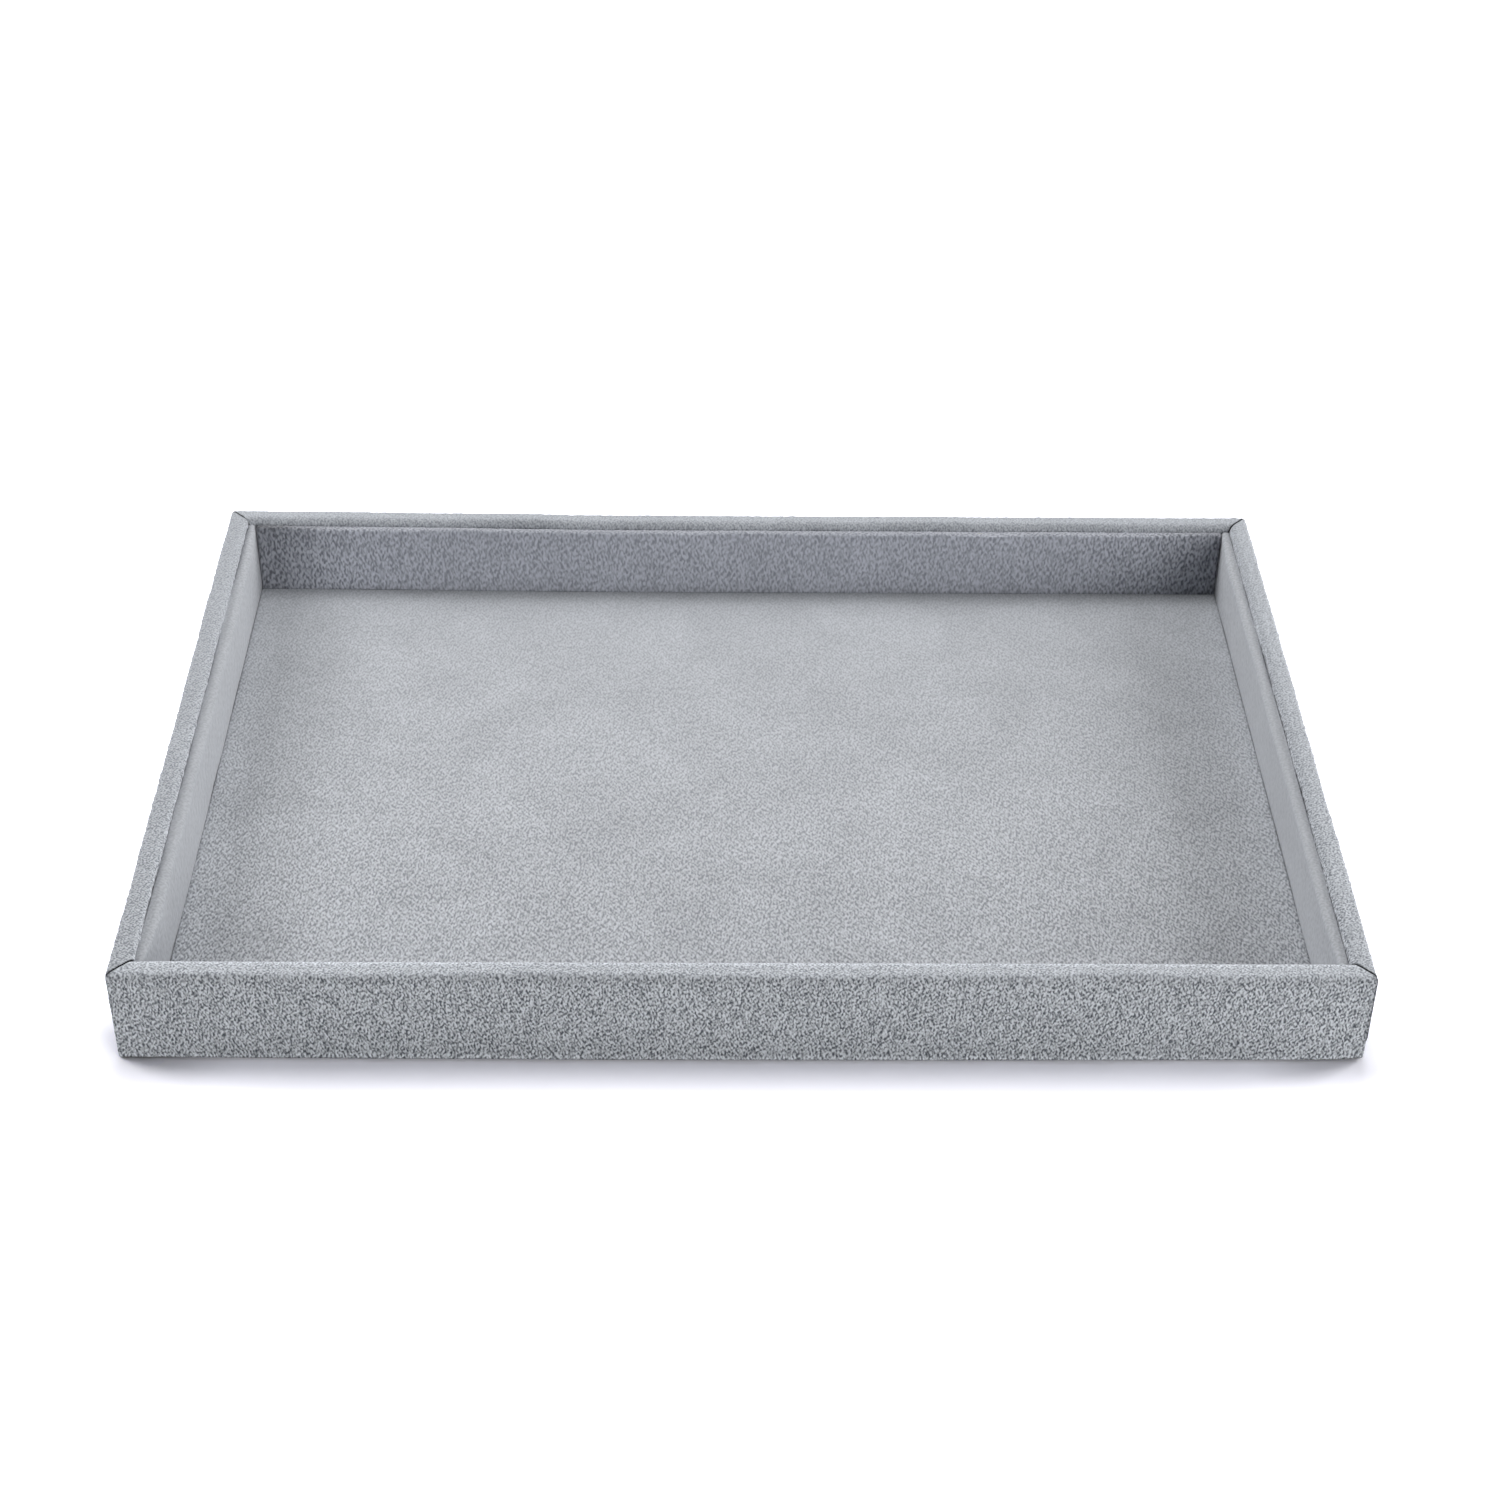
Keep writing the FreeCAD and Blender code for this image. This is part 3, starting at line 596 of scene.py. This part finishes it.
low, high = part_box("floor_wadding")
radius = (high.z - low.z) / 2
x, y, near = edged_grid(low, high, FOAM_SPACING, arc_distances(radius, FOAM_ARC_STEPS))
swell = radius - roll_in(near, radius)
middle = (low.z + high.z) / 2
upper = np.stack((x, y, middle + swell), -1)
lower = np.stack((x, y, middle - swell), -1)
piece = cloth_shell("floor_foam", upper, lower)
# Off-white open foam with small pores.
piece.data.materials.append(speckled("foam_wadding", "dcd8cc", "efece3", 0.6 * MM, 1.0))
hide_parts("floor_wadding")
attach(piece, "root")

# Floor cloth
# Microsuede stretched over the foam and turned down at its edges, let in between the liners.
# Its nap lies in soft brushed strokes, finer than on the walls.

FLOOR_CLOTH = 0.5 * MM
FLOOR_ROUND = 0.6 * MM
FLOOR_ARC_STEPS = 6
# How far the edge is pushed out against the liners, and how much cloth is turned down there.
FLOOR_PUSH = 0.28 * MM
FLOOR_SPACING = 1.6 * MM
# The slow waves of the padded floor, which die away near its edges.
FLOOR_WAVE_DEPTH = 0.12 * MM
FLOOR_WAVE_PERIOD = 55 * MM
FLOOR_WAVE_EDGE = 12 * MM
# Painted shade in each soft patch, and painted light where the share is negative, with the patch's middle
# and its reach along X and Y.
FLOOR_PAINTED_SHADES = ((0.2, (165 * MM, -110 * MM), (35 * MM, 45 * MM)),
                (-0.07, (-165 * MM, -60 * MM), (45 * MM, 110 * MM)),
                (0.045, (0, 113 * MM), (200 * MM, 30 * MM)))
# How far the nap stands at the floor's front, how much less at the back, and the share more at its sides.
FRONT_NAP = 0.58
BACK_PRESSED = 0.4
SIDE_NAP = 0.2


def floor_cloth(low, high):
    """A sheet with its edge turned down: a quarter circle, then an upright skirt. Slow waves run over it."""
    fine = np.append(0, arc_distances(FLOOR_ROUND, FLOOR_ARC_STEPS))
    layers = []
    for sunk in (0, FLOOR_CLOTH):
        x, y, near = edged_grid(low, high, FLOOR_SPACING, fine, sunk - FLOOR_PUSH)
        z = high[2] - sunk - roll_in(near, FLOOR_ROUND)
        z[[0, -1]] = low[2]
        z[:, [0, -1]] = low[2]
        layers.append(np.stack((x, y, z), -1))
    inland = np.clip(near / FLOOR_WAVE_EDGE, 0, 1)
    sway = FLOOR_WAVE_DEPTH * inland * ripples(layers[0], FLOOR_WAVE_PERIOD, seed=31)
    for layer in layers:
        layer[..., 2] += sway
    x, y = layers[0][..., 0], layers[0][..., 1]
    # Painted shade in soft patches: the right wall's shadow at the front right and the back wall's along the
    # back, with painted light at the left.
    shade = 0
    for level, place, reach in FLOOR_PAINTED_SHADES:
        shade = shade + level * bell(x - place[0], reach[0]) * bell(y - place[1], reach[1])
    nap = (FRONT_NAP - BACK_PRESSED * (y / high[1] + 1) / 2) * (1 + SIDE_NAP * (x / high[0]) ** 2)
    return cloth_shell("floor_cloth", *layers, nap=nap, shade=shade)


# Light cool grey with a fine grain and wide soft strokes.
floor_suede = microsuede("floor_microsuede", "5b5e64", "dcdfe4", tuft=1.0 * MM, stretch=(1.08, 0.58, 1),
                         nap_share=1.0, bump=0.12 * MM, mottle=0.07)
low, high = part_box("floor_cover")
piece = floor_cloth(low, high)
piece.data.materials.append(floor_suede)
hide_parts("floor_cover")
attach(piece, "root")

# Underside cloth
# A thin flannel glued over the base and over the turned-under edges of the wall cloth.
# It stands lower along its border, where the wall cloth lies above it.

UNDERSIDE_CLOTH = 0.4 * MM
UNDERSIDE_NAP = 0.3
UNDERSIDE_SPACING = 3 * MM
# How far the border steps down, between which distances from the edge, and the grid's steps there.
UNDERSIDE_STEP = 0.7 * MM
UNDERSIDE_BORDER = (11.6 * MM, 15.0 * MM)
BORDER_STEPS = 4
SLOPE_STEPS = 8

low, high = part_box("underside_cloth")
border = np.linspace(0, UNDERSIDE_BORDER[0], BORDER_STEPS + 1)
slope = np.linspace(*UNDERSIDE_BORDER, SLOPE_STEPS + 1)
x, y, near = edged_grid(low, high, UNDERSIDE_SPACING, np.append(border, slope[1:]))
rise = UNDERSIDE_STEP * ease(near, *UNDERSIDE_BORDER)
lower = np.stack((x, y, low.z + rise), -1).transpose(1, 0, 2)
upper = lower + (0, 0, UNDERSIDE_CLOTH)
piece = cloth_shell("underside_flannel_sheet", lower, upper, nap=UNDERSIDE_NAP)
# Mid grey flannel with a short even nap.
flannel = microsuede("underside_flannel", "75797f", "c0c4c9", tuft=0.9 * MM, stretch=(1, 1, 1),
                     nap_share=1.0, bump=0.1 * MM, mottle=0.02)
piece.data.materials.append(flannel)
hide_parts("underside_cloth")
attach(piece, "root")

# Studio
# A sheet of white paper under the tray that keeps its shadow, lit by six soft lights: one above, two at the
# left, one at the right and two at the front right.

PAPER_SIZE = 2.4
# The paper's level to the light and to the camera, to which it is overexposed and a little violet.
PAPER_LEVEL = (0.8, 0.8, 0.8, 1)
PAPER_SEEN = (1.60, 1.59, 1.71)
# Round the tray's front corners the shadow is deepened, by how much of the sky the tray hides within a reach.
# The deepening comes on between two places along an axis, up to a share.
CONTACT_REACH = 60 * MM
CONTACT_SAMPLES = 8
CONTACT_POWER = 1.3
CONTACT_RAMPS = {"left": ("X", -140 * MM, -170 * MM, 0.85), "right": ("X", 140 * MM, 165 * MM, 0.58),
                 "front": ("Y", -97 * MM, -112 * MM, 1.0)}
# The level of the white surroundings to the light and to the camera.
SKY_LEVEL = 0.02
SKY_SEEN = 1.0
# Each light's bearing from +Y and height, in degrees, its distance in metres, its power in watts, and its
# width and height in metres.
LIGHTS = {
    "top_light": (0, 78, 1.4, 7.5, (0.6, 0.6)),
    "left_back_light": (-72, 20, 1.4, 7.3, (0.8, 0.5)),
    "left_high_light": (-75, 40, 1.4, 8.4, (0.8, 0.5)),
    "right_back_light": (72, 20, 1.4, 13.8, (0.8, 0.5)),
    "front_right_light": (120, 15, 2.5, 10.6, (1.4, 0.9)),
    "front_light": (150, 15, 2.5, 23.6, (1.4, 0.9)),
}
# The way that a light's height leans to: along Y, and a little up, so that a light straight above has a side.
LIGHT_LEAN = (0, 1, 0.01)

paper_mesh = bpy.data.meshes.new("studio_floor")
reach = PAPER_SIZE / 2
corners = [(-reach, -reach, 0), (reach, -reach, 0), (reach, reach, 0), (-reach, reach, 0)]
paper_mesh.from_pydata(corners, [], [(0, 1, 2, 3)])
floor = bpy.data.objects.new("studio_floor", paper_mesh)
bpy.context.scene.collection.objects.link(floor)
# White paper, brighter to the camera than to the light, so that only the tray's own shadow shows on it.
paper, tree, shader, place = new_material("white_paper", {"Roughness": 1.0, "Specular IOR Level": 0.0})
spot = add_node(tree, "ShaderNodeSeparateXYZ", {}, {0: place}).outputs
ramps = {}
for name, (axis, start, end, share) in CONTACT_RAMPS.items():
    rise = {"Value": spot[axis], "From Min": start, "From Max": end, "To Max": share}
    ramps[name] = add_node(tree, "ShaderNodeMapRange", {"interpolation_type": "SMOOTHSTEP"}, rise).outputs[0]
ends = add_node(tree, "ShaderNodeMath", {}, {0: ramps["left"], 1: ramps["right"]}).outputs[0]
corner = add_node(tree, "ShaderNodeMath", {"operation": "MULTIPLY"}, {0: ends, 1: ramps["front"]}).outputs[0]
open_sky = add_node(tree, "ShaderNodeAmbientOcclusion", {"samples": CONTACT_SAMPLES},
                    {"Distance": CONTACT_REACH}).outputs["AO"]
deep = add_node(tree, "ShaderNodeMath", {"operation": "POWER"}, {0: open_sky, 1: CONTACT_POWER}).outputs[0]
contact = add_node(tree, "ShaderNodeMix", {}, {0: corner, 2: 1.0, 3: deep}).outputs[0]
white = add_node(tree, "ShaderNodeVectorMath", {"operation": "SCALE"},
                 {0: PAPER_SEEN, "Scale": contact}).outputs[0]
seen = add_node(tree, "ShaderNodeLightPath", {}, {}).outputs["Is Camera Ray"]
tone = add_node(tree, "ShaderNodeMix", {"data_type": "RGBA"}, {0: seen, 6: PAPER_LEVEL, 7: white})
tree.links.new(tone.outputs[2], shader.inputs["Base Color"])
paper_mesh.materials.append(paper)

world = bpy.data.worlds.new("studio")
world.use_nodes = True
bpy.context.scene.world = world
tree = world.node_tree
seen = add_node(tree, "ShaderNodeLightPath", {}, {}).outputs["Is Camera Ray"]
level = add_node(tree, "ShaderNodeMapRange", {}, {"Value": seen, "To Min": SKY_LEVEL, "To Max": SKY_SEEN})
tree.links.new(level.outputs[0], tree.nodes["Background"].inputs["Strength"])
tree.nodes["Background"].inputs["Color"].default_value = (1, 1, 1, 1)


def direction(bearing, height):
    """The way to a bearing, clockwise from +Y, and a height above the table, both in radians."""
    flat = math.cos(height)
    return np.array((math.sin(bearing) * flat, math.cos(bearing) * flat, math.sin(height)))


def aim(item, place, across, back):
    """Puts a light or a camera at a place, with its width across and its back away from what it faces."""
    turn = Matrix(np.stack((across, np.cross(back, across), back), 1).tolist()).to_4x4()
    item.matrix_world = Matrix.Translation(place) @ turn
    bpy.context.scene.collection.objects.link(item)


for name, (bearing, height, distance, power, size) in LIGHTS.items():
    lamp = bpy.data.lights.new(name, "AREA")
    lamp.shape = "RECTANGLE"
    lamp.size, lamp.size_y = size
    lamp.energy = power
    back = direction(math.radians(bearing), math.radians(height))
    across = np.cross(LIGHT_LEAN, back)
    aim(bpy.data.objects.new(name, lamp), distance * back, across / np.linalg.norm(across), back)

# Camera
# The photo's view, found by fitting the tray's edges: from the front, 36 degrees down and turned by less than
# one degree.

CAMERA_PLACE = (-6.85 * MM, -693.04 * MM, 529.10 * MM)
CAMERA_YAW = math.radians(0.7973)
CAMERA_PITCH = math.radians(36.3362)
CAMERA_ROLL = math.radians(0.6795)
# The focal length in pixels of the photo, its width in pixels, and the sensor's width in millimetres.
FOCAL_PIXELS = 2753.7
PHOTO_PIXELS = 1500
SENSOR_WIDTH = 36
NEAREST = 0.01

camera_data = bpy.data.cameras.new("photo_camera")
camera_data.sensor_width = SENSOR_WIDTH
camera_data.lens = SENSOR_WIDTH * FOCAL_PIXELS / PHOTO_PIXELS
camera_data.clip_start = NEAREST
camera = bpy.data.objects.new("photo_camera", camera_data)
ahead = direction(CAMERA_YAW, -CAMERA_PITCH)
level = np.array((math.cos(CAMERA_YAW), -math.sin(CAMERA_YAW), 0))
upright = np.cross(level, ahead)
aim(camera, CAMERA_PLACE, level * math.cos(CAMERA_ROLL) + upright * math.sin(CAMERA_ROLL), -ahead)
bpy.context.scene.camera = camera
bpy.context.scene.view_settings.view_transform = "Standard"
